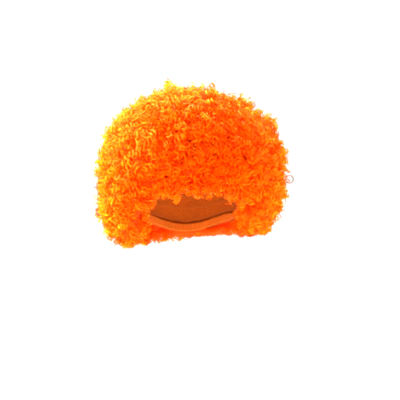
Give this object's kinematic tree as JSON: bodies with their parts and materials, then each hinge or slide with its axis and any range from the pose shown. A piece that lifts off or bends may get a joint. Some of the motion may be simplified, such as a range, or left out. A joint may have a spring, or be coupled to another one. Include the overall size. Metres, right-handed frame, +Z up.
{
  "type": "clown wig",
  "caption": "Round curly clown wig: short curls in sewn rows over an elastic net cap, open at the face, for wearing on a head.",
  "frame": {"origin": "inside of the crown of the net cap, where the top of the wearer's head bears", "axes": "+Z up, the face opening looks along -Y, +X to the right of someone who faces the wig"},
  "size_m": [0.2735, 0.2861, 0.236],
  "materials": {
    "hair": "glossy curled synthetic fibre",
    "net": "matt stretch net",
    "elastic": "matt ribbed elastic"
  },
  "bodies": {
    "root": {"net_cap": "net", "hem_elastic": "elastic", "crown_hair": "hair", "weft_1": "hair", "weft_2": "hair", "weft_3": "hair", "weft_4": "hair", "weft_5": "hair"}
  },
  "joints": []
}
